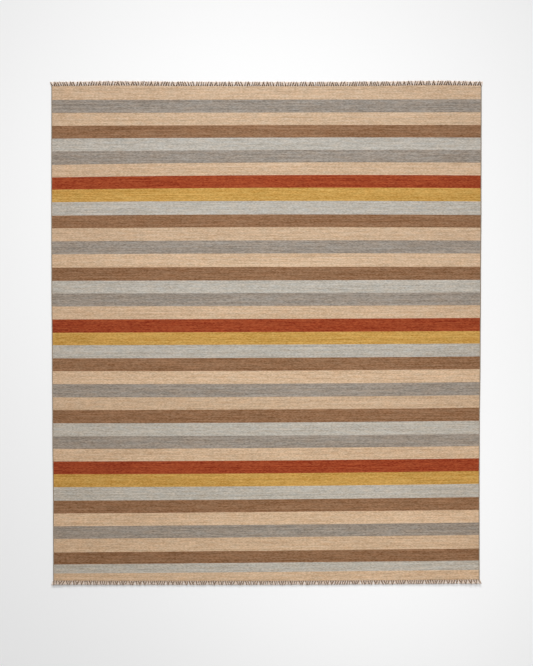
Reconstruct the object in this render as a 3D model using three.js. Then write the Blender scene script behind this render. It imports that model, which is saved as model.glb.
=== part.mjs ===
// A flat-woven kilim rug lying face up: a thin striped field, a cord overcast down each long
// side, and a row of knots with cut tails across each end.
// Units are millimetres. +X runs across the rug, +Y along it to the far end, +Z up.
// The rug lies on z = 0, and its origin is under the middle of its bounding box.

import * as THREE from 'three';

// Driving dimensions of the cloth
const WOVEN_WIDTH = 2500;
const WOVEN_LENGTH = 2880;
const CLOTH_THICKNESS = 5;
const CLOTH_EDGE = 1.2;
const SIDE_STEPS = 24;
const END_STEPS = 96;

// The cords overcast down the sides
const CORD_WIDTH = 5.5;
const CORD_HEIGHT = 5.5;
const CORD_EDGE = 1.6;

// The fringe: a strip of knots at the root, and strands that stand out of it
const STRIP_DEPTH = 5;
const STRIP_HEIGHT = 5;
const FRINGE_REACH = 26;
const STRANDS_PER_END = 150;
const ROOT_WIDTH = 4.4;
const END_MARGIN = 6;
const LARGEST_LEAN = 4.2;
const CORNER_SPREAD = 7;
const CORNER_FADE = 15;

// Clearance between pieces that touch on the real rug
const GAP = 0.3;

// How far the long sides sit in from the woven rectangle, from the near end to the far end
const SIDE_INSETS = [
  { along: 0.00, left: 11.5, right: 11.5 },
  { along: 0.15, left: 10.5, right: 12.0 },
  { along: 0.30, left: 6.5, right: 10.5 },
  { along: 0.45, left: 4.0, right: 6.0 },
  { along: 0.60, left: 1.0, right: 3.5 },
  { along: 0.75, left: 0.0, right: 1.0 },
  { along: 1.00, left: 1.0, right: 0.0 },
];

// How far the ends sit in from the woven rectangle, from the left side to the right side
const END_INSETS = [
  { along: 0.00, near: 2.0, far: 6.0 },
  { along: 0.15, near: 0.5, far: 3.0 },
  { along: 0.30, near: 0.3, far: 5.5 },
  { along: 0.45, near: 0.0, far: 6.5 },
  { along: 0.60, near: 1.0, far: 7.0 },
  { along: 0.75, near: 3.5, far: 5.0 },
  { along: 0.90, near: 6.0, far: 1.0 },
  { along: 1.00, near: 8.5, far: 3.5 },
];

// One strand from its root on the strip to its cut tip. reach is a share of the fringe's reach,
// foot and crown are widths at the floor and on top, and height is above the floor.
const STRAND_SECTIONS = [
  { reach: 0.36, foot: 8.4, crown: 5.0, height: 6.2 },
  { reach: 0.54, foot: 4.6, crown: 2.8, height: 3.8 },
  { reach: 1.00, foot: 7.2, crown: 5.2, height: 2.0 },
];

// A repeat of leans, as shares of the largest one, that sets the tips in loose pairs
const STRAND_LEANS = [-0.9, 0.7, -0.4, 0.95, -0.75, 0.2, 0.85, -0.6, 0.45, -1.0, 0.6, -0.15, 1.0];
// A repeat of lengths, as shares of the fringe's reach
const STRAND_LENGTHS = [1.0, 0.93, 0.98, 0.9, 0.96, 1.0, 0.92];

const { lerp, smoothstep, clamp } = THREE.MathUtils;

// Reads one column of a table between its rows, with a soft change from row to row.
function insetAt(table, column, along) {
  const place = clamp(along, 0, 1);
  const next = Math.max(1, table.findIndex((row) => row.along >= place));
  const low = table[next - 1];
  const high = table[next];
  return lerp(low[column], high[column], smoothstep(place, low.along, high.along));
}

// The outside of the side cords, by their share of the way from the near end to the far end.
const leftSide = (along) => -WOVEN_WIDTH / 2 + insetAt(SIDE_INSETS, 'left', along);
const rightSide = (along) => WOVEN_WIDTH / 2 - insetAt(SIDE_INSETS, 'right', along);

// The woven ends, by x.
const across = (x) => x / WOVEN_WIDTH + 0.5;
const nearEnd = (x) => -WOVEN_LENGTH / 2 + insetAt(END_INSETS, 'near', across(x));
const farEnd = (x) => WOVEN_LENGTH / 2 - insetAt(END_INSETS, 'far', across(x));

const shares = (steps) => Array.from({ length: steps + 1 }, (_, step) => step / steps);

// Points down a side, held in from its outside by a distance that is positive towards +X.
function sidePoints(side, shift) {
  return shares(SIDE_STEPS).map((along) => {
    const x = side(along) + shift;
    return new THREE.Vector2(x, lerp(nearEnd(x), farEnd(x), along));
  });
}

// Points along an end between two x values.
function endPoints(end, from, to) {
  return shares(END_STEPS).map((along) => {
    const x = lerp(from, to, along);
    return new THREE.Vector2(x, end(x));
  });
}

// A flat piece of even height with eased edges, standing on z = 0.
function slab(outline, height, edge) {
  const geometry = new THREE.ExtrudeGeometry(new THREE.Shape(outline), {
    depth: height - 2 * edge,
    bevelEnabled: true,
    bevelThickness: edge,
    bevelSize: edge,
    bevelOffset: -edge,
    bevelSegments: 1,
  });
  geometry.translate(0, 0, edge);
  return geometry;
}

// The woven field, between the side cords.
function field() {
  const inset = CORD_WIDTH + GAP;
  const left = sidePoints(leftSide, inset);
  const right = sidePoints(rightSide, -inset);
  const near = endPoints(nearEnd, left[0].x, right[0].x);
  const far = endPoints(farEnd, left.at(-1).x, right.at(-1).x);
  const outline = [
    ...near.slice(0, -1),
    ...right.slice(0, -1),
    ...far.reverse().slice(0, -1),
    ...left.reverse().slice(0, -1),
  ];
  return slab(outline, CLOTH_THICKNESS, CLOTH_EDGE);
}

// One side cord. towards is 1 where the rug lies to the cord's right, and -1 to its left.
function sideCord(side, towards) {
  const outer = sidePoints(side, 0);
  const inner = sidePoints(side, towards * CORD_WIDTH);
  return slab([...outer, ...inner.reverse()], CORD_HEIGHT, CORD_EDGE);
}

// One end's fringe as one closed skin: a strip across the whole end, with strands that grow out
// of its outer face and all lie flat on z = 0. along is the end's share on the sides, and
// outwards is its direction on Y.
function fringe(end, along, outwards) {
  const left = leftSide(along);
  const right = rightSide(along);
  const positions = [];
  const indices = [];

  // Adds a ring of four corners, each an x, a distance out from the woven end and a height.
  const ring = (...corners) => corners.map(([x, out, height]) => {
    positions.push(x, end(x) + outwards * out, height);
    return positions.length / 3 - 1;
  });
  const face = (a, b, c, d) => indices.push(a, b, c, a, c, d);
  const wall = (from, to, sides) => sides.forEach((side) => {
    const after = (side + 1) % 4;
    face(from[side], to[side], to[after], from[after]);
  });
  // The strip's section at one x: floor and top on the inside, then top and floor outside.
  const section = (x) => ring(
    [x, GAP, 0],
    [x, GAP, STRIP_HEIGHT],
    [x, GAP + STRIP_DEPTH, STRIP_HEIGHT],
    [x, GAP + STRIP_DEPTH, 0],
  );
  const everySide = [0, 1, 2, 3];
  const withoutOuter = [0, 1, 3];

  let reached = section(left);
  face(...reached);
  for (let index = 0; index < STRANDS_PER_END; index += 1) {
    const share = index / (STRANDS_PER_END - 1);
    const x = lerp(left + END_MARGIN, right - END_MARGIN, share);
    const from = section(x - ROOT_WIDTH / 2);
    const to = section(x + ROOT_WIDTH / 2);
    wall(reached, from, everySide);
    wall(from, to, withoutOuter);
    reached = to;

    const corner = (2 * share - 1) ** CORNER_FADE;
    const loose = LARGEST_LEAN * STRAND_LEANS[index % STRAND_LEANS.length];
    const lean = loose * (1 - Math.abs(corner)) + CORNER_SPREAD * corner;
    const length = FRINGE_REACH * STRAND_LENGTHS[index % STRAND_LENGTHS.length];
    let grown = [to[2], from[2], from[3], to[3]];
    STRAND_SECTIONS.forEach(({ reach, foot, crown, height }) => {
      const middle = x + lean * reach ** 2;
      const next = ring(
        [middle + crown / 2, length * reach, height],
        [middle - crown / 2, length * reach, height],
        [middle - foot / 2, length * reach, 0],
        [middle + foot / 2, length * reach, 0],
      );
      wall(grown, next, everySide);
      grown = next;
    });
    face(...grown.reverse());
  }
  const last = section(right);
  wall(reached, last, everySide);
  face(...last.reverse());

  if (outwards < 0) indices.reverse();
  const geometry = new THREE.BufferGeometry();
  geometry.setAttribute('position', new THREE.Float32BufferAttribute(positions, 3));
  geometry.setIndex(indices);
  geometry.computeVertexNormals();
  return geometry;
}

const yarn = (color) => new THREE.MeshStandardMaterial({ color, roughness: 0.95, metalness: 0 });

function piece(name, geometry, material) {
  const mesh = new THREE.Mesh(geometry, material);
  mesh.name = name;
  return mesh;
}

const weave = yarn(0xb89c7e);
const overcast = yarn(0x8c7660);
const warp = yarn(0xa08a74);

const cloth = new THREE.Group();
cloth.add(
  piece('field', field(), weave),
  piece('selvedge_left', sideCord(leftSide, 1), overcast),
  piece('selvedge_right', sideCord(rightSide, -1), overcast),
  piece('fringe_far', fringe(farEnd, 1, 1), warp),
  piece('fringe_near', fringe(nearEnd, 0, -1), warp),
);

// The corners spread unevenly, so the cloth is centred by its box.
const middle = new THREE.Box3().setFromObject(cloth).getCenter(new THREE.Vector3());
cloth.position.set(-middle.x, -middle.y, 0);

const rug = new THREE.Group();
rug.add(cloth);

export default rug;
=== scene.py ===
# %% [markdown]
# # A striped kilim rug
#
# A kilim is a flat weave: strong warps run the length of the rug, and wool wefts are beaten down
# so tightly over them that only the weft shows. A stripe is nothing more than a change of weft
# yarn, so the whole field is one thin sheet, the same on both faces.
#
# This file dresses a model that already has the right sizes. It is laid out in steps, and each
# one says what the real thing is, how it could be made, and why it is made in this way.

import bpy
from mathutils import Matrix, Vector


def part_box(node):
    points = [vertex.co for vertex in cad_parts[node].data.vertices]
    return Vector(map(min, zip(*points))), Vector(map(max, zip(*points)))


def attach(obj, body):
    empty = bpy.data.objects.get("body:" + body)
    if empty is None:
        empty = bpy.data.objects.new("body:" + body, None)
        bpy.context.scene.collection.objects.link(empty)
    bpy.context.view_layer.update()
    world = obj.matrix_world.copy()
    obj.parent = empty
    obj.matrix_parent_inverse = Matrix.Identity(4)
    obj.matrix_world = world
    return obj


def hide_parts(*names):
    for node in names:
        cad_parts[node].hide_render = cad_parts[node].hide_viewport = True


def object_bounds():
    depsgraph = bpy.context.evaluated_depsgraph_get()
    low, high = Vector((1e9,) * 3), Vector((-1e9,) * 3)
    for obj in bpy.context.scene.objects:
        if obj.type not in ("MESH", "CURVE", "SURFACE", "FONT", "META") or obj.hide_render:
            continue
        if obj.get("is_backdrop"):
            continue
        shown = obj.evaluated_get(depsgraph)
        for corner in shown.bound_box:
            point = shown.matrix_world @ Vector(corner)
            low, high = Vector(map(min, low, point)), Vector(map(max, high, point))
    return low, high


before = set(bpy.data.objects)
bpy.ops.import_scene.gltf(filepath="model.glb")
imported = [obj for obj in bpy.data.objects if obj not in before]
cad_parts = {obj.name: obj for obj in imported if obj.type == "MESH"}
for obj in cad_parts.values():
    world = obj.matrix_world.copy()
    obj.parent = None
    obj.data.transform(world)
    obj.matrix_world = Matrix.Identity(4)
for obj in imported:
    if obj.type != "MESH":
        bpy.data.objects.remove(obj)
cad_box = [list(corner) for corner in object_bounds()]

import math
import random

import bmesh
import bpy
from mathutils import Matrix, Vector, noise

MM = 0.001
print("nodes in the frame:", ", ".join(sorted(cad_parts)))

# %% [markdown]
# ## The camera
#
# The rug is seen from straight above, with a long lens, so its sides run almost parallel to the
# edges of the picture. The height of the view is known in millimetres, and the lens then gives
# the distance. The rug sits in the middle of the view.

# %% Camera straight above
VIEW_HEIGHT = 3867 * MM
LENS = 70
SENSOR = 36
VIEW_CENTRE = Vector((0, 0.3, 5)) * MM

camera_data = bpy.data.cameras.new("camera")
camera_data.lens = LENS
camera_data.sensor_width = SENSOR
camera_data.clip_end = 100
camera = bpy.data.objects.new("camera", camera_data)
camera.location = VIEW_CENTRE + Vector((0, 0, VIEW_HEIGHT * LENS / SENSOR))
bpy.context.scene.collection.objects.link(camera)
bpy.context.scene.camera = camera
print(f"camera {camera.location.z:.2f} m above the floor")

# %% [markdown]
# ## The outline of the cloth
#
# No woven rug is a true rectangle. This one draws in by a centimetre towards its near end, and
# its ends wander by a few millimetres. The tables hold those insets at a few places, and a soft
# step reads them in between, so that the outline stays smooth.

# %% Sizes and tables of the outline, in millimetres
WOVEN_WIDTH = 2500
WOVEN_LENGTH = 2880
CLOTH_THICKNESS = 5
CORD_WIDTH = 5.5
CORD_HEIGHT = 5.5
FRINGE_REACH = 26

SIDE_INSETS = {
    "along": (0.00, 0.15, 0.30, 0.45, 0.60, 0.75, 1.00),
    "left": (11.5, 10.5, 6.5, 4.0, 1.0, 0.0, 1.0),
    "right": (11.5, 12.0, 10.5, 6.0, 3.5, 1.0, 0.0),
}
END_INSETS = {
    "along": (0.00, 0.15, 0.30, 0.45, 0.60, 0.75, 0.90, 1.00),
    "near": (2.0, 0.5, 0.3, 0.0, 1.0, 3.5, 6.0, 8.5),
    "far": (6.0, 3.0, 5.5, 6.5, 7.0, 5.0, 1.0, 3.5),
}


def lerp(start, end, share):
    return start + (end - start) * share


def smooth_step(share):
    share = min(1, max(0, share))
    return share * share * (3 - 2 * share)


def read(table, column, along):
    """Reads one column of a table between its rows, with a soft change from row to row."""
    places = table["along"]
    along = min(1, max(0, along))
    after = max(1, next(row for row, place in enumerate(places) if place >= along))
    step = smooth_step((along - places[after - 1]) / (places[after] - places[after - 1]))
    return lerp(table[column][after - 1], table[column][after], step)


def left_side(along):
    return -WOVEN_WIDTH / 2 + read(SIDE_INSETS, "left", along)


def right_side(along):
    return WOVEN_WIDTH / 2 - read(SIDE_INSETS, "right", along)


def near_end(x):
    return -WOVEN_LENGTH / 2 + read(END_INSETS, "near", x / WOVEN_WIDTH + 0.5)


def far_end(x):
    return WOVEN_LENGTH / 2 - read(END_INSETS, "far", x / WOVEN_WIDTH + 0.5)


# The frame is centred by its box, so the tables are moved by the same small amount.
SHIFT = Vector((
    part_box("selvedge_left")[0].x / MM + WOVEN_WIDTH / 2,
    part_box("field")[0].y / MM + WOVEN_LENGTH / 2,
    0,
))
print(f"the frame is shifted by {SHIFT.x:.2f} mm across and {SHIFT.y:.2f} mm along")

# %% [markdown]
# ## The order of the stripes
#
# The weaver works through eleven stripes of about 75 mm, three times over, and ends with six
# more. Hand-beaten stripes are never quite the same width, so each one is measured. Some of the
# lines between them also run a little off square, or bow in the middle where the cloth was
# drawn in, which a second short table keeps.

# %% Stripes from the far end to the near end, with their widths in millimetres
STRIPES = [
    ("beige", 78.5), ("grey", 75.0), ("beige", 73.0), ("brown", 72.5), ("light", 71.5), ("grey", 73.0),
    ("beige", 73.5), ("rust", 73.5), ("mustard", 76.0), ("light", 78.5), ("brown", 74.5),
    ("beige", 76.0), ("grey", 76.0), ("beige", 78.5), ("brown", 78.0), ("light", 73.5), ("grey", 75.0),
    ("beige", 75.0), ("rust", 76.5), ("mustard", 73.0), ("light", 76.5), ("brown", 75.0),
    ("beige", 75.5), ("grey", 76.5), ("beige", 73.0), ("brown", 76.0), ("light", 76.0), ("grey", 72.0),
    ("beige", 72.5), ("rust", 74.5), ("mustard", 74.5), ("light", 76.5), ("brown", 73.5),
    ("beige", 73.5), ("grey", 72.5), ("beige", 78.5), ("brown", 69.5), ("light", 54.0), ("beige", 52.0),
]

# Stripes whose yarn came from a paler or a darker dye lot, counted from the far end, and how
# bright that lot is beside the usual one
DYE_LOTS = {
    11: 0.96, 13: 1.03, 18: 0.965, 20: 0.96, 22: 1.05,
    24: 0.95, 28: 1.03, 33: 1.07, 36: 0.96, 38: 1.03,
}

# How far a weft line tilts up to the right and bows, at the sides, in millimetres
WEFT_LINES = {
    "along": (0.00, 0.04, 0.14, 0.20, 0.30, 0.40, 0.50, 0.60, 0.66, 0.75, 0.84, 0.90, 0.95, 1.00),
    "tilt": (10, 12, 11, 10, 8, 6, 5, 3, 2.5, 2, 6.5, 3, 2, 2),
    "bow": (3, 1, 2, 4.5, 3, 4, 1, 0.5, -3, -5.5, -8, -3, 0, 0.5),
}
HALF_WIDTH = WOVEN_WIDTH / 2

STRIPE_YARNS = [yarn for yarn, width in reversed(STRIPES)]
STRIPE_LOTS = [DYE_LOTS.get(stripe, 1.0) for stripe in reversed(range(len(STRIPES)))]
STRIPE_LINES = [0.0]
for yarn, width in reversed(STRIPES):
    STRIPE_LINES.append(STRIPE_LINES[-1] + width)
STRIPE_LINES = [line / STRIPE_LINES[-1] for line in STRIPE_LINES]


def bent_line(along, x):
    """The y of a weft line that crosses the middle of the rug at that share of its length."""
    across = x / HALF_WIDTH
    tilt = read(WEFT_LINES, "tilt", along)
    bow = read(WEFT_LINES, "bow", along)
    return lerp(near_end(0), far_end(0), along) + tilt * across + bow * across * across


def weft_line(along, x):
    """The same, but the outermost stripes change over to the line of the cut end."""
    first, last = STRIPE_LINES[1], STRIPE_LINES[-2]
    if along < first:
        return lerp(near_end(x), bent_line(first, x), along / first)
    if along > last:
        return lerp(bent_line(last, x), far_end(x), (along - last) / (1 - last))
    return bent_line(along, x)


print(len(STRIPES), "stripes of", len(set(STRIPE_YARNS)), "yarns")

# %% [markdown]
# ## The woven field
#
# The field could be a plain box with painted stripes, but its outline, its weft lines and its
# rounded rim all show at a grazing angle. It starts as one flat grid with a column for every
# few warps and a row on every line between two yarns. The grid is extruded into a closed
# sheet, and then each point moves to its place: out to the uneven outline, onto its weft line,
# and down round the rim. The underside stays flat on the floor.
#
# The grid's own shares of width and length are kept as a UV map first. They are the loom's
# coordinates: a weft stays at one height in them however the cloth is drawn in, so the yarn
# pattern can follow the weave. The map is named OFBake, and both faces share it, because a flat
# weave looks alike on both. Each face also remembers the dye lot of its stripe.

# %% Rows and columns of the sheet
KNOTS = 187
COLUMNS_PER_KNOT = 4
RIM_RADIUS = 1.4
RIM_STEPS = (0.25, 0.7, 1.4, 2.4)
CORD_OVERLAP = 0.6
SCALLOP = 0.7
UNEVENNESS = 0.25
UNEVEN_PATCH = 0.16
UV_MAP = "OFBake"
DYE_LOT = "dye_lot"
# The sides aren't parallel, so the field's width is taken at this share of its length
WIDTH_TAKEN_AT = 0.6


def left_edge(along):
    return left_side(along) + CORD_WIDTH - CORD_OVERLAP


def right_edge(along):
    return right_side(along) - CORD_WIDTH + CORD_OVERLAP


FIELD_WIDTH = right_edge(WIDTH_TAKEN_AT) - left_edge(WIDTH_TAKEN_AT)
FIELD_LENGTH = far_end(0) - near_end(0)


def with_rim(inner_lines, size):
    """Shares of a length, with the rim's rows added inside each end."""
    rim = [step / size for step in RIM_STEPS]
    return [0, *rim, *inner_lines[1:-1], *[1 - step for step in reversed(rim)], 1]


INNER_COLUMNS = KNOTS * COLUMNS_PER_KNOT
COLUMNS = with_rim([column / INNER_COLUMNS for column in range(INNER_COLUMNS + 1)], FIELD_WIDTH)
ROWS = with_rim(STRIPE_LINES, FIELD_LENGTH)
print(f"field {FIELD_WIDTH:.0f} by {FIELD_LENGTH:.0f} mm, {len(COLUMNS)} columns, {len(ROWS)} rows")


# %% One point of the sheet
def cloth_place(u, v):
    """The x and y of a point of the field, from its shares of the width and the length."""
    x = lerp(left_edge(v), right_edge(v), u)
    along = (weft_line(v, x) - near_end(x)) / (far_end(x) - near_end(x))
    x = lerp(left_edge(along), right_edge(along), u)
    return x, weft_line(v, x)


def rounding(depth):
    """How far a rounded rim falls away at a depth in from its edge."""
    inwards = RIM_RADIUS - min(depth, RIM_RADIUS)
    return RIM_RADIUS - math.sqrt(RIM_RADIUS ** 2 - inwards ** 2)


def cloth_point(u, v, top):
    x, y = cloth_place(u, v)
    to_side = min(u, 1 - u) * FIELD_WIDTH
    to_end = min(v, 1 - v) * FIELD_LENGTH
    fall = rounding(min(to_side, to_end))
    if to_end <= RIM_RADIUS:
        pulled = SCALLOP * (0.5 + 0.5 * math.cos(2 * math.pi * KNOTS * u))
        y += pulled if v < 0.5 else -pulled
    if not top:
        return Vector((x, y, fall)) + SHIFT
    uneven = UNEVENNESS * noise.noise(Vector((x, y, 0)) * MM / UNEVEN_PATCH)
    return Vector((x, y, CLOTH_THICKNESS - fall + uneven)) + SHIFT


centre = cloth_point(0.5, 0.5, top=True)
print(f"the middle of the face is at {centre.x:.1f}, {centre.y:.1f}, {centre.z:.1f} mm")


# %% The closed sheet
def finished(name, bm, smooth=True):
    """Makes an object from a bmesh whose points are in millimetres."""
    bmesh.ops.recalc_face_normals(bm, faces=bm.faces)
    bmesh.ops.scale(bm, vec=(MM, MM, MM), verts=bm.verts)
    mesh = bpy.data.meshes.new(name)
    bm.to_mesh(mesh)
    bm.free()
    mesh.polygons.foreach_set("use_smooth", [smooth] * len(mesh.polygons))
    piece = bpy.data.objects.new(name, mesh)
    bpy.context.scene.collection.objects.link(piece)
    return piece


def woven_field(yarns):
    wide, long = len(COLUMNS) - 1, len(ROWS) - 1
    bm = bmesh.new()
    bmesh.ops.create_grid(bm, x_segments=wide, y_segments=long, size=0.5)
    grown = bmesh.ops.extrude_face_region(bm, geom=bm.faces[:])
    raised = [part for part in grown["geom"] if isinstance(part, bmesh.types.BMVert)]
    bmesh.ops.translate(bm, vec=(0, 0, 1), verts=raised)

    uv_map = bm.loops.layers.uv.new(UV_MAP)
    dye_lot = bm.faces.layers.float.new(DYE_LOT)
    for face in bm.faces:
        for loop in face.loops:
            column = round((loop.vert.co.x + 0.5) * wide)
            row = round((loop.vert.co.y + 0.5) * long)
            loop[uv_map].uv = COLUMNS[column], ROWS[row]
        middle = sum(loop[uv_map].uv.y for loop in face.loops) / len(face.loops)
        stripe = next(i for i, line in enumerate(STRIPE_LINES[1:]) if middle <= line)
        face.material_index = yarns.index(STRIPE_YARNS[stripe])
        face[dye_lot] = STRIPE_LOTS[stripe]

    for vert in bm.verts:
        column = round((vert.co.x + 0.5) * wide)
        row = round((vert.co.y + 0.5) * long)
        vert.co = cloth_point(COLUMNS[column], ROWS[row], vert.co.z > 0.5)
    return finished("woven_field", bm)


YARNS = sorted(set(STRIPE_YARNS))
field = woven_field(YARNS)
print(f"woven field: {len(field.data.polygons)} faces, {field.dimensions.z / MM:.1f} mm thick")

# %% [markdown]
# ## Materials, node by node
#
# Every yarn is wool with a bump map and a colour that varies, so the materials share a few
# helpers. A material is a small tree of nodes. The first functions add a node, do one sum, and
# mix or multiply two colours. The next ones read a soft noise and a piece's own map, and the
# last makes the wool itself, with the values that are the same all over a surface set on the
# shader.

# %% Helpers that add nodes and do sums
def link(tree, value, socket):
    if isinstance(value, bpy.types.NodeSocket):
        tree.links.new(value, socket)
    else:
        socket.default_value = value


def node(tree, kind, inputs=(), **settings):
    made = tree.nodes.new(kind)
    for name, value in settings.items():
        setattr(made, name, value)
    for name, value in dict(inputs).items():
        link(tree, value, made.inputs[name])
    return made


def calc(tree, operation, *values):
    made = node(tree, "ShaderNodeMath", operation=operation)
    for value, socket in zip(values, made.inputs):
        link(tree, value, socket)
    return made.outputs[0]


def mix_colour(tree, share, first, second):
    """The mix node has sockets for many kinds of data. Those numbered here are its colours."""
    made = node(tree, "ShaderNodeMix", data_type="RGBA")
    link(tree, share, made.inputs["Factor"])
    link(tree, first, made.inputs[6])
    link(tree, second, made.inputs[7])
    return made.outputs[2]


def times(tree, colour, tint):
    made = node(tree, "ShaderNodeVectorMath", operation="MULTIPLY")
    link(tree, colour, made.inputs[0])
    link(tree, tint, made.inputs[1])
    return made.outputs[0]


print("helpers:", ", ".join(helper.__name__ for helper in (link, node, calc, mix_colour, times)))

# %% Noise, maps and the wool shader
WOOL = {"Roughness": 0.95, "Specular IOR Level": 0.2, "Sheen Weight": 0.12, "Sheen Roughness": 0.5}


def soft_noise(tree, x, y, seed, detail=0):
    """Smooth noise from 0 to 1 that changes over about one unit of x and y."""
    place = node(tree, "ShaderNodeCombineXYZ", {"X": x, "Y": y, "Z": seed})
    made = node(tree, "ShaderNodeTexNoise", {"Vector": place.outputs[0], "Scale": 1, "Detail": detail})
    return made.outputs["Fac"]


def map_place(tree):
    """The X and Y of a piece's own map."""
    own_map = node(tree, "ShaderNodeUVMap", uv_map=UV_MAP)
    return node(tree, "ShaderNodeSeparateXYZ", {"Vector": own_map.outputs[0]}).outputs


def wool(name):
    """A material with a shader for matt wool. Returns it with its tree and shader."""
    material = bpy.data.materials.new(name)
    material.use_nodes = True
    tree = material.node_tree
    shader = tree.nodes["Principled BSDF"]
    for socket, value in WOOL.items():
        shader.inputs[socket].default_value = value
    return material, tree, shader


print("wool:", WOOL)

# %% [markdown]
# ## The wool of the stripes
#
# Seen from a step away, a kilim stripe isn't one colour. The wool is spun from lighter and
# darker fleece, so each weft carries short flecks and longer streaks along its own length, and
# the weft beside it carries others. That is why the streaks run along the stripes and are only
# a few millimetres tall. To the eye, the dark and the light fleece lie as far apart in a deep
# rust as in a beige. The dye takes unevenly too, so some streaks are a little warmer and some a
# little cooler. Close up, each warp makes a rib under the wefts, and each weft shows as a row
# of small beads on every other rib, half a bead apart from one rib to the next.
#
# One noise stretched along x would do from far away. Here the length of the loom is first cut
# into shots, one pass of yarn there and back, and each shot reads its own line of noise, so
# the streaks end at a weft, as they do in the weave.

# %% Ribs and beads of the weave, in metres along the loom
WARPS_PER_KNOT = 6
WARP_PITCH = FIELD_WIDTH * MM / (KNOTS * WARPS_PER_KNOT)
BEAD = 1.25 * MM


def loom_place(tree):
    """Metres across and along the loom, from the sheet's own map."""
    place = map_place(tree)
    across = calc(tree, "MULTIPLY", place["X"], FIELD_WIDTH * MM)
    along = calc(tree, "MULTIPLY", place["Y"], FIELD_LENGTH * MM)
    return across, along


def weave_relief(tree, across, along):
    """Height of the ribs and beads from 0 to 1, and the number of each rib and bead."""
    warps = calc(tree, "DIVIDE", across, WARP_PITCH)
    rib = calc(tree, "FLOOR", warps)
    odd = calc(tree, "MODULO", rib, 2)
    beads = calc(tree, "ADD", calc(tree, "DIVIDE", along, BEAD), calc(tree, "MULTIPLY", odd, 0.5))
    bead = calc(tree, "FLOOR", beads)
    round_rib = calc(tree, "SINE", calc(tree, "MULTIPLY", calc(tree, "FRACT", warps), math.pi))
    round_bead = calc(tree, "SINE", calc(tree, "MULTIPLY", calc(tree, "FRACT", beads), math.pi))
    height = calc(tree, "MULTIPLY", calc(tree, "SQRT", round_rib), calc(tree, "SQRT", round_bead))
    return height, rib, bead


print(f"a rib every {WARP_PITCH / MM:.2f} mm and a bead every {BEAD / MM:.2f} mm")

# %% A tone that varies along the shots
SHOT = 2 * BEAD
# Any number that isn't whole sets the noise of one shot far from that of the next
SHOT_STEP = 7.31

# What varies along a shot: its length in metres, its share of the tone, and its own noise
SHOT_TONES = (
    {"kind": "fleck", "length": 12 * MM, "share": 1.55, "seed": 0},
    {"kind": "streak", "length": 70 * MM, "share": 0.8, "seed": 20},
    {"kind": "long streak", "length": 240 * MM, "share": 0.72, "seed": 30},
    {"kind": "whole shot", "length": 900 * MM, "share": 0.7, "seed": 40},
)
# A patch spans many shots, and a bead is a single turn of yarn
PATCH_WIDE, PATCH_SHARE, PATCH_SEED = 350 * MM, 0.18, 60
PATCH_TALL = PATCH_WIDE / 3
BEAD_SHARE = 0.16


def plane_noise(tree, across, along, wide, tall, seed):
    """Soft noise in patches of a size across and along the loom."""
    return soft_noise(tree, calc(tree, "DIVIDE", across, wide), calc(tree, "DIVIDE", along, tall), seed)


def varied_tone(tree, across, along, rib, bead, seed):
    """A tone around 0.5, made of what varies along the shots, patches and single beads."""
    shot = calc(tree, "MULTIPLY", calc(tree, "FLOOR", calc(tree, "DIVIDE", along, SHOT)), SHOT_STEP)
    parts = []
    for row in SHOT_TONES:
        streak = soft_noise(tree, calc(tree, "DIVIDE", across, row["length"]), shot, seed + row["seed"])
        parts.append((streak, row["share"]))
    patch = plane_noise(tree, across, along, PATCH_WIDE, PATCH_TALL, seed + PATCH_SEED)
    single = node(tree, "ShaderNodeTexWhiteNoise", {
        "Vector": node(tree, "ShaderNodeCombineXYZ", {"X": rib, "Y": bead, "Z": seed}).outputs[0]})
    parts += [(patch, PATCH_SHARE), (single.outputs["Value"], BEAD_SHARE)]
    tone = 0.5
    for part, share in parts:
        tone = calc(tree, "ADD", tone, calc(tree, "MULTIPLY", calc(tree, "SUBTRACT", part, 0.5), share))
    return calc(tree, "MINIMUM", calc(tree, "MAXIMUM", tone, 0), 1)


print("a shot carries:", ", ".join(row["kind"] for row in SHOT_TONES))

# %% Six yarns from one recipe
YARN_COLOURS = {
    "beige": (0.606, 0.424, 0.272),
    "grey": (0.315, 0.266, 0.216),
    "brown": (0.271, 0.139, 0.068),
    "light": (0.487, 0.444, 0.378),
    "rust": (0.322, 0.0525, 0.0131),
    "mustard": (0.545, 0.306, 0.071),
}
# How far a yarn's dark and light fleece lie from its own colour, in brightness as it looks
FLEECE_STEP = 0.096
LOOKS_POWER = 2.2
# Painted shade: in the creases between ribs and beads, the weft's colour falls to this share
PAINTED_CREASE_SHADE = 0.80
WEAVE_HEIGHT = 0.4 * MM
# The dye is uneven by these tints, in patches of this size
COOLER = (0.93, 1, 1.08, 1)
WARMER = (1.05, 1, 0.96, 1)
DYE_WIDE, DYE_TALL, DYE_SEED = 60 * MM, 12 * MM, 80
# Painted shade: the cloth is a little darker and warmer towards its sides, most of all on the left
SIDE_SHADE_TINT = (0.972, 0.948, 0.930, 1)
BRIGHTEST_ACROSS = 0.55
# Painted light and shade: darker and warmer towards the near end, paler and cooler towards the far end
NEAR_SHADE_TINT = (0.985, 0.965, 0.935, 1)
FAR_LIGHT_TINT = (1.035, 1.045, 1.065, 1)
# Each yarn reads another part of every noise
YARN_SEED = 3.7


def fleeces(colour):
    """The dark and the light fleece of a yarn, an even step apart in red, green and blue."""
    dark, light = [], []
    for amount in colour:
        looks = amount ** (1 / LOOKS_POWER)
        less = max(0, looks - FLEECE_STEP) ** LOOKS_POWER
        more = (looks + FLEECE_STEP) ** LOOKS_POWER
        dark.append(2 * amount * less / (less + more))
        light.append(2 * amount * more / (less + more))
    return (*dark, 1), (*light, 1)


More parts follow.
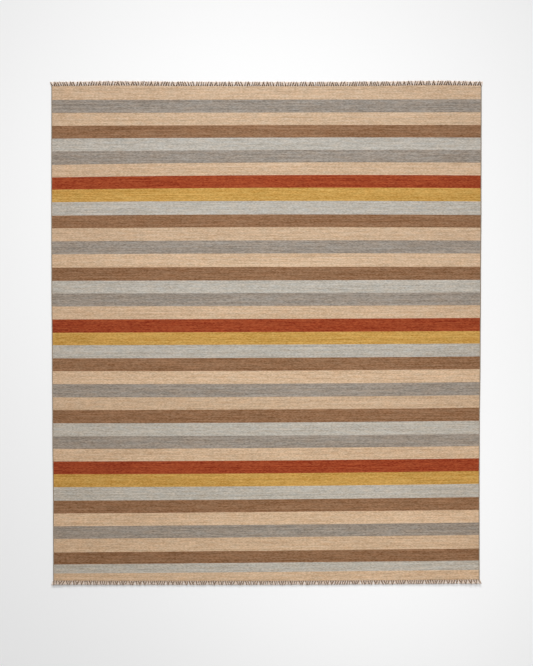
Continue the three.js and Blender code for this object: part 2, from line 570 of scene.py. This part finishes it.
def weft_yarn(name, seed):
    material, tree, shader = wool("wool_" + name)
    across, along = loom_place(tree)
    height, rib, bead = weave_relief(tree, across, along)
    tone = varied_tone(tree, across, along, rib, bead, seed)
    fleece = mix_colour(tree, tone, *fleeces(YARN_COLOURS[name]))
    # Painted shade: darker in the creases between ribs and beads, full colour on their tops
    painted_crease = calc(tree, "ADD", PAINTED_CREASE_SHADE, calc(tree, "MULTIPLY", height, 1 - PAINTED_CREASE_SHADE))
    shaded = mix_colour(tree, painted_crease, (0, 0, 0, 1), fleece)
    # Painted shade: darker and warmer away from the brightest line across, most of all on the left
    from_left = calc(tree, "DIVIDE", across, FIELD_WIDTH * MM * BRIGHTEST_ACROSS)
    from_brightest = calc(tree, "SUBTRACT", from_left, 1)
    painted_side_shade = calc(tree, "MULTIPLY", from_brightest, from_brightest)
    # Painted light and shade along the length, from the near end to the far end
    painted_light_along = calc(tree, "DIVIDE", along, FIELD_LENGTH * MM)
    dye = plane_noise(tree, across, along, DYE_WIDE, DYE_TALL, seed + DYE_SEED)
    dyed_and_shaded = shaded
    for tint in (
        mix_colour(tree, dye, COOLER, WARMER),
        mix_colour(tree, painted_side_shade, (1, 1, 1, 1), SIDE_SHADE_TINT),
        mix_colour(tree, painted_light_along, NEAR_SHADE_TINT, FAR_LIGHT_TINT),
        node(tree, "ShaderNodeAttribute", attribute_name=DYE_LOT).outputs["Fac"],
    ):
        dyed_and_shaded = times(tree, dyed_and_shaded, tint)
    tree.links.new(dyed_and_shaded, shader.inputs["Base Color"])
    bump = node(tree, "ShaderNodeBump", {"Height": height, "Strength": 0.5, "Distance": WEAVE_HEIGHT})
    tree.links.new(bump.outputs["Normal"], shader.inputs["Normal"])
    return material


for number, yarn in enumerate(YARNS):
    field.data.materials.append(weft_yarn(yarn, number * YARN_SEED))
print("yarns:", ", ".join(YARNS))

# %% [markdown]
# ## The side cords
#
# The outermost warps are bound over and over with taupe yarn, which gives each long side a
# thin dark cord. It could be a smooth tube with a bump map, but seen along the rug the turns
# make its outline, so here each turn is a real ridge. A flat grid with four rings for each
# turn is wrapped round: one direction of the grid becomes the way round the cord, the other
# runs down the side, and the seam is merged.

# %% A cord wrapped from a grid
TURN_PITCH = 2.2
RINGS_PER_TURN = 4
CORD_SIDES = 12
TURN_DEPTH = 0.35
CORD_SQUARENESS = 0.75
# The cord's own weight presses its underside flat on the floor
UNDERSIDE_PRESS = 1.15
MAP_ROWS = 12
MAP_MARGIN = 0.04
# Points of a seam that lie closer than this many millimetres are merged
SEAM_GAP = 0.0005


def side_point(side, along):
    """A point of the cloth's outer side, at a share of the way from the near end."""
    x = side(along)
    return x, lerp(near_end(x), far_end(x), along)


def cord_section(turn):
    """One point of a rounded, almost square section, as shares of its half width and height."""
    round_x, round_z = math.cos(turn), math.sin(turn)
    return (
        math.copysign(abs(round_x) ** CORD_SQUARENESS, round_x),
        math.copysign(abs(round_z) ** CORD_SQUARENESS, round_z),
    )


def side_cord(name, side, towards):
    """towards is 1 where the cloth lies to the cord's right, and -1 where it lies to its left."""
    rings = round(FIELD_LENGTH / TURN_PITCH) * RINGS_PER_TURN
    rings_per_row = math.ceil(rings / MAP_ROWS)
    bm = bmesh.new()
    bmesh.ops.create_grid(bm, x_segments=CORD_SIDES, y_segments=rings, size=0.5)
    uv_map = bm.loops.layers.uv.new(UV_MAP)
    for face in bm.faces:
        middle = face.calc_center_median()
        first_ring = math.floor((middle.y + 0.5) * rings)
        map_row, in_row = divmod(first_ring, rings_per_row)
        for loop in face.loops:
            step = (loop.vert.co.y + 0.5) * rings - first_ring
            turned = lerp(MAP_MARGIN, 1 - MAP_MARGIN, loop.vert.co.x + 0.5)
            loop[uv_map].uv = (in_row + step) / rings_per_row, (map_row + turned) / MAP_ROWS

    for vert in bm.verts:
        around = vert.co.x + 0.5
        ring = round((vert.co.y + 0.5) * rings)
        x, y = side_point(side, ring / rings)
        across, up = cord_section(2 * math.pi * around)
        ridge = math.cos(2 * math.pi * (ring / RINGS_PER_TURN + around))
        grow = 1 - TURN_DEPTH / CORD_WIDTH * (1 - ridge)
        half_height = CORD_HEIGHT / 2
        z = half_height + half_height * max(-1, up * grow if up > 0 else up * UNDERSIDE_PRESS)
        vert.co = Vector((x + towards * CORD_WIDTH / 2 + across * grow * CORD_WIDTH / 2, y, z)) + SHIFT
    bmesh.ops.remove_doubles(bm, verts=bm.verts, dist=SEAM_GAP)
    ends = [edge for edge in bm.edges if edge.is_boundary]
    bmesh.ops.holes_fill(bm, edges=ends, sides=0)
    return finished(name, bm)


left_cord = side_cord("side_cord_left", left_side, 1)
right_cord = side_cord("side_cord_right", right_side, -1)
print(f"side cords: {len(left_cord.data.polygons)} faces each")

# %% [markdown]
# ## The yarn of the side cords
#
# The binding yarn is a darker, cooler taupe than the stripes. Its map is folded, so that a cord
# nearly three metres long and a few millimetres round still fills a square: the cord's length
# is cut into twelve stretches that lie side by side. The nodes unfold it again and find the
# place along the cord and the way round it, and from those the single turns.

# %% Taupe binding yarn
TAUPE = (0.32, 0.255, 0.19)
# How far the darkest and the palest yarn lie from it, in brightness and in warmth
TAUPE_SPREAD, TAUPE_WARMTH = 0.45, 0.02
# Painted shade: in the crevices between the binding's turns, its colour falls to this share
PAINTED_CREVICE_SHADE = 0.6
FIBRE_HEIGHT = 0.3 * MM
FIBRES_ALONG_TURN, FIBRES_AROUND = 3, 6
BINDING_PATCH = 24
# The shares of single turns, fibres and patches in the tone of the binding
TURN_SHARE, FIBRE_SHARE, BINDING_PATCH_SHARE = 0.3, 0.4, 0.3


def tinted(colour, factor, warmth):
    """A colour made lighter or darker, and a little warmer or cooler with it."""
    red, green, blue = colour
    return red * factor * (1 + warmth), green * factor, blue * factor * (1 - warmth), 1


def binding_yarn():
    material, tree, shader = wool("wool_binding")
    place = map_place(tree)
    rows = calc(tree, "MULTIPLY", place["Y"], MAP_ROWS)
    unfolded = calc(tree, "ADD", calc(tree, "FLOOR", rows), place["X"])
    along = calc(tree, "MULTIPLY", unfolded, FIELD_LENGTH / MAP_ROWS)
    around = calc(tree, "FRACT", rows)
    turns = calc(tree, "ADD", calc(tree, "DIVIDE", along, TURN_PITCH), around)
    turn = calc(tree, "FLOOR", turns)
    ridge = calc(tree, "SINE", calc(tree, "MULTIPLY", calc(tree, "FRACT", turns), math.pi))
    shade = node(tree, "ShaderNodeTexWhiteNoise", {"W": turn}, noise_dimensions="1D")
    fibre = soft_noise(
        tree,
        calc(tree, "MULTIPLY", turns, FIBRES_ALONG_TURN),
        calc(tree, "MULTIPLY", around, FIBRES_AROUND),
        seed=4.2,
        detail=2,
    )
    patch = soft_noise(tree, calc(tree, "DIVIDE", along, BINDING_PATCH), y=3.3, seed=8.8)
    tone = calc(tree, "MULTIPLY", shade.outputs["Value"], TURN_SHARE)
    tone = calc(tree, "ADD", tone, calc(tree, "MULTIPLY", fibre, FIBRE_SHARE))
    tone = calc(tree, "ADD", tone, calc(tree, "MULTIPLY", patch, BINDING_PATCH_SHARE))
    dark = tinted(TAUPE, 1 - TAUPE_SPREAD, TAUPE_WARMTH)
    light = tinted(TAUPE, 1 + TAUPE_SPREAD, -TAUPE_WARMTH)
    # Painted shade: darker in the crevices between the turns, full colour on their ridges
    painted_crease = calc(tree, "ADD", PAINTED_CREVICE_SHADE, calc(tree, "MULTIPLY", ridge, 1 - PAINTED_CREVICE_SHADE))
    shaded = mix_colour(tree, painted_crease, (0, 0, 0, 1), mix_colour(tree, tone, dark, light))
    tree.links.new(shaded, shader.inputs["Base Color"])
    bump = node(tree, "ShaderNodeBump", {"Height": fibre, "Strength": 0.4, "Distance": FIBRE_HEIGHT})
    tree.links.new(bump.outputs["Normal"], shader.inputs["Normal"])
    return material


binding = binding_yarn()
for cord in (left_cord, right_cord):
    cord.data.materials.append(binding)
print("binding yarn on both side cords")

# %% [markdown]
# ## The fringe
#
# When a kilim is cut from the loom, its warps are gathered in sixes and tied in a row of
# overhand knots against the last weft, and the tails are cut short. Nearly two hundred knots
# stand at each end. Modelling each by hand is no use, and a hair system gives neither knots
# nor clean meshes. So a dozen different tassels are modelled once, each with its own leans
# and lengths, and set along the end in a mixed order, some of them mirrored.
#
# A tassel has three parts: six short roots that draw together, the knot, and its cut tails, six
# pale ones and three dark ones. There are more tails than roots, because some warps open into
# their plies where they are cut. Every root and tail is a tube, made as the side cords are: a
# small grid wrapped round a route, with the seam merged and both ends filled. A knot is such a
# tube with a swollen middle and slanting lumps.

# %% A tube of yarn, and its place on the fringe's map
ATLAS = 6
KNOT_TILES, ROOT_TILES = range(0, 6), range(6, 12)
BROWN_TILES, CREAM_TILES = range(12, 24), range(24, 36)
# How far a lump turns from ring to ring, and how much of its tile the cut end of a tube covers
LUMP_TWIST = 1.4
CAP_RADIUS = 0.3


def tile_place(tile, around, along):
    """A place in one square tile of the fringe's map, with a thin margin round it."""
    column, row = tile % ATLAS, tile // ATLAS
    return (
        (column + lerp(MAP_MARGIN, 1 - MAP_MARGIN, around)) / ATLAS,
        (row + lerp(MAP_MARGIN, 1 - MAP_MARGIN, along)) / ATLAS,
    )


def yarn_tube(bm, route, widths, heights, sides, tile, lump=0.0):
    """Wraps a grid round a route of points, with a width and a height at each point."""
    uv_map = bm.loops.layers.uv[UV_MAP]
    steps = len(route) - 1
    verts = bmesh.ops.create_grid(bm, x_segments=sides, y_segments=steps, size=0.5)["verts"]
    for face in {face for vert in verts for face in vert.link_faces}:
        for loop in face.loops:
            loop[uv_map].uv = tile_place(tile, loop.vert.co.x + 0.5, loop.vert.co.y + 0.5)
    for vert in verts:
        around = vert.co.x + 0.5
        ring = round((vert.co.y + 0.5) * steps)
        ahead = (route[min(steps, ring + 1)] - route[max(0, ring - 1)]).normalized()
        side = ahead.cross(Vector((0, 0, 1))).normalized()
        turn = 2 * math.pi * around
        swell = 1 + lump * math.cos(2 * turn + LUMP_TWIST * ring)
        out = side * math.cos(turn) * widths[ring] / 2
        out += Vector((0, 0, 1)) * math.sin(turn) * heights[ring] / 2
        vert.co = route[ring] + out * swell
    bmesh.ops.remove_doubles(bm, verts=verts, dist=SEAM_GAP)
    open_edges = [edge for edge in bm.edges if edge.is_boundary]
    for cap in bmesh.ops.holes_fill(bm, edges=open_edges, sides=0)["faces"]:
        for corner, loop in enumerate(cap.loops):
            turn = 2 * math.pi * corner / len(cap.loops)
            across, along = CAP_RADIUS * math.cos(turn), CAP_RADIUS * math.sin(turn)
            loop[uv_map].uv = tile_place(tile, 0.5 + across, 0.5 + along)


print(f"the fringe's map has {ATLAS ** 2} tiles")

# %% Roots and knot, outwards along +Y from the cloth's end, in millimetres
TASSEL_PITCH = FIELD_WIDTH / KNOTS
CLOTH_BITE = 1.0
ROOTS = WARPS_PER_KNOT
ROOT_RADIUS = 0.9
ROOT_SIDES = 4
ROOT_START_HEIGHT, ROOT_END_HEIGHT = 2.4, 2.7
# A root arches a little, just past its middle, and ends inside the knot
ROOT_ARCH, ROOT_ARCH_AT = 0.3, 0.55
ROOT_IN_KNOT = 1.2
# How far the outer roots lie from the middle, as a share of the pitch and of the knot's width
ROOT_SPREAD, ROOT_GATHER = 0.42, 0.22
KNOT_WIDTH = 8.2
KNOT_HEIGHT = 5.6
KNOT_START = 0.0
KNOT_LENGTH = 9.0
KNOT_SIDES = 8
KNOT_SWELL = (0.45, 0.86, 1.0, 0.98, 0.80, 0.42)
KNOT_LUMP = 0.10
KNOT_SIZES = (0.9, 1.06)


def add_root(bm, rank, draw):
    """rank runs from -1 to 1 across the tassel."""
    start = Vector((rank * TASSEL_PITCH * ROOT_SPREAD, -CLOTH_BITE, ROOT_START_HEIGHT))
    end = Vector((rank * KNOT_WIDTH * ROOT_GATHER, KNOT_START + ROOT_IN_KNOT, ROOT_END_HEIGHT))
    route = [start, start.lerp(end, ROOT_ARCH_AT) + Vector((0, 0, ROOT_ARCH)), end]
    size = [2 * ROOT_RADIUS] * len(route)
    yarn_tube(bm, route, size, size, ROOT_SIDES, draw.choice(ROOT_TILES))


def add_knot(bm, draw):
    steps = len(KNOT_SWELL) - 1
    middle_height = KNOT_HEIGHT / 2 * (1 + KNOT_LUMP)
    route = [
        Vector((0, KNOT_START + KNOT_LENGTH * step / steps, middle_height)) for step in range(steps + 1)
    ]
    grow = draw.uniform(*KNOT_SIZES)
    widths = [KNOT_WIDTH * swell * grow for swell in KNOT_SWELL]
    heights = [KNOT_HEIGHT * swell for swell in KNOT_SWELL]
    yarn_tube(bm, route, widths, heights, KNOT_SIDES, draw.choice(KNOT_TILES), lump=KNOT_LUMP)


print(f"a knot every {TASSEL_PITCH:.1f} mm")

# %% Tails, cut off in front of the knot, in millimetres
TAIL_RADIUS = 1.12
TAIL_SIZES = (0.9, 1.1)
TAIL_SIDES, TAIL_STEPS = 5, 5
TAIL_CURL = 1
TAIL_STRAY = 1.1
TAIL_START = KNOT_START + 5
FRAYED_TIP = 1.1
# Half the width of a bunch of tails where they leave the knot
CREAM_BUNCH, BROWN_BUNCH = 2.4, 1.6
# How high the tails leave the knot, and how soon they sink to their tips
CREAM_START_HEIGHT, BROWN_START_HEIGHT = 3.0, 3.4
CREAM_DROOP, BROWN_DROOP = 1.3, 1.5
# How long the tails are, as shares of the fringe's reach, and how high their tips lie
CREAM_REACH, BROWN_REACH = (0.90, 1.02), (0.84, 1.06)
CREAM_TIP_HEIGHT, CREAM_TIP_LIFT = 1.3 * TAIL_RADIUS, 0.6
BROWN_TIP_HEIGHTS = (2.8, 4.8)
CREAM_TAILS = 6
# How far the outer pale tails lie from the middle, as a share of the pitch, and how much of
# that the tails from the knot keep to
CREAM_SPREAD, CREAM_GATHER = 0.48, 0.8
BROWN_TAILS = 3
# Half the width of the dark tails' clump at their tips, and how far sideways they lean for
# each millimetre outwards
BROWN_CLUMP = 2.0
BROWN_LEANS = (0.2, 0.5)


def add_tail(bm, begin, tip, droop, tiles, draw):
    """A cut tail runs from its begin to its tip, and sinks early or late on the way."""
    curl = draw.uniform(-TAIL_CURL, TAIL_CURL)
    route = []
    for step in range(TAIL_STEPS + 1):
        share = step / TAIL_STEPS
        place = begin.lerp(tip, share)
        place.x += curl * math.sin(math.pi * share)
        place.z = lerp(begin.z, tip.z, smooth_step(share * droop))
        route.append(place)
    size = 2 * TAIL_RADIUS * draw.uniform(*TAIL_SIZES)
    sizes = [size] * TAIL_STEPS + [FRAYED_TIP * size]
    yarn_tube(bm, route, sizes, sizes, TAIL_SIDES, draw.choice(tiles))


def add_cream_tails(bm, draw):
    """The pale tails run straight out on the floor. The outer two missed the knot."""
    for tail in range(CREAM_TAILS):
        rank = 2 * tail / (CREAM_TAILS - 1) - 1
        missed = abs(rank) == 1
        spread = rank * TASSEL_PITCH * CREAM_SPREAD * (1 if missed else CREAM_GATHER)
        begin = Vector((
            spread if missed else rank * CREAM_BUNCH,
            -CLOTH_BITE if missed else TAIL_START,
            CREAM_START_HEIGHT,
        ))
        tip = Vector((
            spread + draw.uniform(-TAIL_STRAY, TAIL_STRAY),
            FRINGE_REACH * draw.uniform(*CREAM_REACH),
            CREAM_TIP_HEIGHT + draw.uniform(0, CREAM_TIP_LIFT),
        ))
        add_tail(bm, begin, tip, CREAM_DROOP, CREAM_TILES, draw)


def add_brown_tails(bm, draw):
    """The dark tails stay together and lean to the right over the pale ones."""
    lean = draw.uniform(*BROWN_LEANS)
    for tail in range(BROWN_TAILS):
        rank = 2 * tail / (BROWN_TAILS - 1) - 1
        reach = FRINGE_REACH * draw.uniform(*BROWN_REACH)
        begin = Vector((rank * BROWN_BUNCH, TAIL_START, BROWN_START_HEIGHT))
        sideways = rank * BROWN_CLUMP + lean * (reach - begin.y)
        stray = draw.uniform(-TAIL_STRAY, TAIL_STRAY)
        tip = Vector((sideways + stray, reach, draw.uniform(*BROWN_TIP_HEIGHTS)))
        add_tail(bm, begin, tip, BROWN_DROOP, BROWN_TILES, draw)


print(f"{CREAM_TAILS} pale and {BROWN_TAILS} dark tails to a knot")

# %% A dozen kinds of tassel
TASSEL_KINDS = 12
TASSEL_SEED = 12


def tassel_kind(draw):
    bm = bmesh.new()
    bm.loops.layers.uv.new(UV_MAP)
    for root in range(ROOTS):
        add_root(bm, 2 * root / (ROOTS - 1) - 1, draw)
    add_cream_tails(bm, draw)
    add_brown_tails(bm, draw)
    add_knot(bm, draw)
    mesh = bpy.data.meshes.new("tassel")
    bm.to_mesh(mesh)
    bm.free()
    return mesh


draw = random.Random(TASSEL_SEED)
TASSELS = [tassel_kind(draw) for kind in range(TASSEL_KINDS)]
print(f"{len(TASSELS)} kinds of tassel, {len(TASSELS[0].polygons)} faces each")

# %% [markdown]
# ## Setting the tassels
#
# A matrix sets each tassel: it moves the tassel to its knot, turns it outwards, makes it as wide
# as its share of the end, mirrors every second one or so, and leans it by a shear, which moves
# the tips and not the roots. So the dark tails meet and part in a loose zigzag. At the corners
# nothing holds the tassels on one side, so they spread past the cloth.

# %% A row of tassels along each end
LEAN = 0.07
CORNER_FADE = 15
RISE_FADE = 6
FLARE = 0.5
WIDTH_SHARES = (0.8, 1.2)
LENGTH_SHARES = (0.95, 1.0)

# How long the tassels are, how they change towards the corners, and how far they rise to their
# tips on the left, in the middle and on the right
FAR_TASSELS = {
    "length": 1.05, "corner_length": -0.08, "corner_lean": 0.24, "rise": (0, 0, 0),
}
NEAR_TASSELS = {
    "length": 0.94, "corner_length": 0.06, "corner_lean": 0.40, "rise": (0.17, 0.06, 0.20),
}


def fringe(name, end, along, outwards, tassels, seed):
    """along is the end's share of the way up the sides, and outwards its direction on Y."""
    draw = random.Random(seed)
    widths = [draw.uniform(*WIDTH_SHARES) for knot in range(KNOTS)]
    reached = 0
    bm = bmesh.new()
    for width in widths:
        share = (reached + width / 2) / sum(widths)
        reached += width
        x = lerp(left_side(along) - FLARE, right_side(along) + FLARE, share)
        corner = (2 * share - 1) ** CORNER_FADE
        lean = LEAN * draw.uniform(-1, 1) * (1 - abs(corner)) + tassels["corner_lean"] * corner
        length = tassels["length"] * draw.uniform(*LENGTH_SHARES) + tassels["corner_length"] * abs(corner)
        left_rise, middle_rise, right_rise = tassels["rise"]
        side_rise = left_rise if share < 0.5 else right_rise
        rise = lerp(middle_rise, side_rise, abs(2 * share - 1) ** RISE_FADE)
        mirror = draw.choice((-1, 1))
        place = Matrix((
            (mirror * width, lean, 0, x),
            (0, outwards * length, 0, end(x)),
            (0, rise, 1, 0),
            (0, 0, 0, 1),
        ))
        copy = draw.choice(TASSELS).copy()
        copy.transform(Matrix.Translation(SHIFT) @ place)
        bm.from_mesh(copy)
        bpy.data.meshes.remove(copy)
    return finished(name, bm)


far_fringe = fringe("fringe_tassels_far", far_end, 1, 1, FAR_TASSELS, seed=3)
near_fringe = fringe("fringe_tassels_near", near_end, 0, -1, NEAR_TASSELS, seed=5)
for mesh in TASSELS:
    bpy.data.meshes.remove(mesh)
print(f"fringes: {len(far_fringe.data.polygons)} faces each")

# %% [markdown]
# ## Warp yarn
#
# The warps are marled: a cream ply and a brown ply twisted together, so each tail is a barber's
# pole. The map gives every tube a square tile, in which one way runs round the yarn and the
# other along it, and a slanting line in the tile is a ply that winds round the tube. Each tile
# draws its own share of brown, so that some tails look nearly cream and others nearly brown.
# The cut tips are worn and bleached. The near fringe lies in the shade of the cloth's end, and
# there every share of brown is a little smaller, as painted light that makes it paler.

# %% Marled warp
CREAM = (0.79, 0.61, 0.465, 1)
BLEACHED = (0.80, 0.665, 0.565, 1)
BROWN = (0.095, 0.044, 0.014, 1)
WORN_TIPS = 0.25
PLY_TURNS = 3
# The share of brown in each row of the map: knots, roots, two rows of brown tails, two of cream
FAR_BROWN = ((0, 1.0), (1, 0.12), (2, 0.95), (4, 0.06))
# Painted light: smaller shares of brown, so the near fringe looks paler in the shade of the cloth's end
NEAR_BROWN = ((0, 0.72), (1, 0.05), (2, 0.88), (4, 0.02))
BROWN_SPREAD = 0.2
PLY_HEIGHT = 0.3 * MM
WARP_FIBRES_ACROSS, WARP_FIBRES_ALONG = 9, 5
# How far the edge of a ply wanders
RAGGED_EDGE = 0.5
# How bright the darkest fibre is, and how much brighter the palest
DARKEST_FIBRE, FIBRE_RANGE = 0.7, 0.6
TILE_SEED = 3


def warp_yarn(name, row_brown):
    material, tree, shader = wool(name)
    place = map_place(tree)
    columns = calc(tree, "MULTIPLY", place["X"], ATLAS)
    rows = calc(tree, "MULTIPLY", place["Y"], ATLAS)
    column, row = calc(tree, "FLOOR", columns), calc(tree, "FLOOR", rows)
    around, along = calc(tree, "FRACT", columns), calc(tree, "FRACT", rows)
    usual = row_brown[0][1]
    for (first_row, brown), (_, less) in zip(row_brown[1:], row_brown):
        reached = calc(tree, "GREATER_THAN", row, first_row - 0.5)
        usual = calc(tree, "ADD", usual, calc(tree, "MULTIPLY", reached, brown - less))
    own = node(tree, "ShaderNodeTexWhiteNoise", {
        "Vector": node(tree, "ShaderNodeCombineXYZ", {"X": column, "Y": row, "Z": TILE_SEED}).outputs[0]})
    off_usual = calc(tree, "MULTIPLY", calc(tree, "SUBTRACT", own.outputs["Value"], 0.5), BROWN_SPREAD)
    brown_share = calc(tree, "ADD", usual, off_usual)
    is_tail = calc(tree, "GREATER_THAN", row, BROWN_TILES[0] // ATLAS - 0.5)
    to_tip = calc(tree, "MULTIPLY", along, is_tail)
    brown_share = calc(tree, "SUBTRACT", brown_share, calc(tree, "MULTIPLY", to_tip, WORN_TIPS))
    ply = calc(tree, "FRACT", calc(tree, "ADD", around, calc(tree, "MULTIPLY", along, PLY_TURNS)))
    fibre = soft_noise(
        tree,
        calc(tree, "MULTIPLY", columns, WARP_FIBRES_ACROSS),
        calc(tree, "MULTIPLY", rows, WARP_FIBRES_ALONG),
        seed=1.7,
        detail=2,
    )
    ragged = calc(tree, "MULTIPLY", calc(tree, "SUBTRACT", fibre, 0.5), RAGGED_EDGE)
    edge = calc(tree, "ADD", ply, ragged)
    is_brown = calc(tree, "LESS_THAN", edge, brown_share)
    cream = mix_colour(tree, to_tip, CREAM, BLEACHED)
    colour = mix_colour(tree, is_brown, cream, BROWN)
    shade = calc(tree, "ADD", DARKEST_FIBRE, calc(tree, "MULTIPLY", fibre, FIBRE_RANGE))
    shaded = node(tree, "ShaderNodeVectorMath", operation="SCALE")
    tree.links.new(colour, shaded.inputs[0])
    tree.links.new(shade, shaded.inputs["Scale"])
    tree.links.new(shaded.outputs[0], shader.inputs["Base Color"])
    groove = calc(tree, "ABSOLUTE", calc(tree, "SINE", calc(tree, "MULTIPLY", ply, 2 * math.pi)))
    bump = node(tree, "ShaderNodeBump", {"Height": groove, "Strength": 0.6, "Distance": PLY_HEIGHT})
    tree.links.new(bump.outputs["Normal"], shader.inputs["Normal"])
    return material


far_fringe.data.materials.append(warp_yarn("wool_warp_far", FAR_BROWN))
near_fringe.data.materials.append(warp_yarn("wool_warp_near", NEAR_BROWN))
print("marled warp on both fringes")

# %% [markdown]
# ## Floor and light
#
# The rug lies on a plain pale floor in even studio light. Four lights share the work, and each
# is stated by its share of the light at the middle of the rug: a pale sky that fills all
# shadows, one large box above the far half, a small one above the near right corner, and a soft
# low sun from beyond the far end. The last leaves the thin shadow under the near fringe.
#
# The sky is brightest low down, where it meets the floor, so that no hard horizon shows in a
# low view. So narrow a band adds next to nothing to the light on a level rug.
#
# A lamp's power follows from its share. At a distance d, a box of power P gives a white surface
# a brightness of P / (pi d)^2, times the cosines at which the light leaves and arrives.

# %% Boxes of light, by their shares at the middle of the rug
BRIGHTNESS = 1.145
LIGHT_COLOUR = (1.0, 1.0, 1.0)
BOXES = [
    {"name": "overhead_box", "at": (-0.03, 1.27, 3.2), "aim": (0.0, 0.0, 0.0), "size": 1.6, "share": 0.35},
    {"name": "near_box", "at": (0.76, -1.31, 1.8), "aim": (0.76, -1.31, 0.0), "size": 1.2, "share": 0.065},
]


def face_towards(lamp, target):
    way = Vector(target) - lamp.location
    lamp.rotation_euler = way.to_track_quat("-Z", "Y").to_euler()


def studio_box(name, at, aim, size, share):
    data = bpy.data.lights.new(name, "AREA")
    data.shape = "SQUARE"
    data.size = size
    data.color = LIGHT_COLOUR
    lamp = bpy.data.objects.new(name, data)
    lamp.location = at
    face_towards(lamp, aim)
    lamp.visible_camera = False
    bpy.context.scene.collection.objects.link(lamp)
    to_rug = -Vector(at)
    leaves = to_rug.normalized().dot((Vector(aim) - Vector(at)).normalized())
    arrives = -to_rug.normalized().z
    data.energy = share * BRIGHTNESS * (math.pi * to_rug.length) ** 2 / (leaves * arrives)
    print(f"{name}: {data.energy:.0f} W")


for box in BOXES:
    studio_box(**box)

# %% A low sun and a pale sky
SUN_SHARE = 0.24
SUN_HEIGHT = 24
SUN_SOFTNESS = 11
SUN_DISTANCE = 5
SKY_SHARE = 0.34
HAZE_HEIGHT = 0.2
FLOOR_COLOUR = (0.90, 0.90, 0.90, 1)

sun_data = bpy.data.lights.new("low_sun", "SUN")
sun_data.angle = math.radians(SUN_SOFTNESS)
sun_data.color = LIGHT_COLOUR
sun_height = math.radians(SUN_HEIGHT)
sun_data.energy = SUN_SHARE * BRIGHTNESS * math.pi / math.sin(sun_height)
sun = bpy.data.objects.new("low_sun", sun_data)
sun.location = Vector((0, math.cos(sun_height), math.sin(sun_height))) * SUN_DISTANCE
face_towards(sun, (0, 0, 0))
bpy.context.scene.collection.objects.link(sun)

world = bpy.data.worlds.new("pale_sky")
world.use_nodes = True
sky = world.node_tree.nodes["Background"]
sky.inputs["Color"].default_value = (*LIGHT_COLOUR, 1)
way_out = node(world.node_tree, "ShaderNodeTexCoord").outputs["Generated"]
upwards = node(world.node_tree, "ShaderNodeSeparateXYZ", {"Vector": way_out}).outputs["Z"]
strength = node(world.node_tree, "ShaderNodeMapRange", {
    "Value": upwards, "From Max": HAZE_HEIGHT,
    "To Min": (SKY_SHARE + SUN_SHARE) * BRIGHTNESS * FLOOR_COLOUR[0],
    "To Max": SKY_SHARE * BRIGHTNESS,
}, interpolation_type="SMOOTHSTEP")
world.node_tree.links.new(strength.outputs["Result"], sky.inputs["Strength"])
bpy.context.scene.world = world
print(f"low_sun: {sun_data.energy:.2f} W/m2")

# %% The floor
FLOOR_RADIUS = 14
FLOOR_DROP = 0.2 * MM

bm = bmesh.new()
bmesh.ops.create_circle(bm, cap_ends=True, segments=96, radius=FLOOR_RADIUS / MM)
floor = finished("floor", bm, smooth=False)
floor.data.transform(Matrix.Translation((0, 0, -FLOOR_DROP)))
paint = bpy.data.materials.new("pale_floor")
paint.use_nodes = True
floor_shader = paint.node_tree.nodes["Principled BSDF"]
floor_shader.inputs["Base Color"].default_value = FLOOR_COLOUR
floor_shader.inputs["Roughness"].default_value = 1
floor_shader.inputs["Specular IOR Level"].default_value = 0
floor.data.materials.append(paint)
floor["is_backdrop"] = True

bpy.context.scene.view_settings.view_transform = "Standard"
print(f"a floor {2 * FLOOR_RADIUS} m across")

# %% [markdown]
# ## Handing the pieces over
#
# Each dressed piece stands for one plain solid of the frame, which is hidden, and rides on the
# frame's only body.

# %% Replace the plain solids
PIECES = [
    (field, "field", "weave"),
    (left_cord, "selvedge_left", "overcast"),
    (right_cord, "selvedge_right", "overcast"),
    (far_fringe, "fringe_far", "warp"),
    (near_fringe, "fringe_near", "warp"),
]
for piece, solid, slot in PIECES:
    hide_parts(solid)
    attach(piece, "root")

triangles = 0
for piece, solid, slot in PIECES:
    count = sum(len(face.vertices) - 2 for face in piece.data.polygons)
    triangles += count
    print(f"{piece.name} stands for {solid}: {count} triangles")
print(f"{triangles} triangles in all")

# %% Finish
visual_box = [list(corner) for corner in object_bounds()]

(low, high), (cad_low, cad_high) = visual_box, cad_box
past = [max(cad_low[axis] - low[axis], high[axis] - cad_high[axis]) / MM for axis in range(3)]
print("past the frame's box, in mm:", ", ".join(f"{side:.1f}" for side in past))
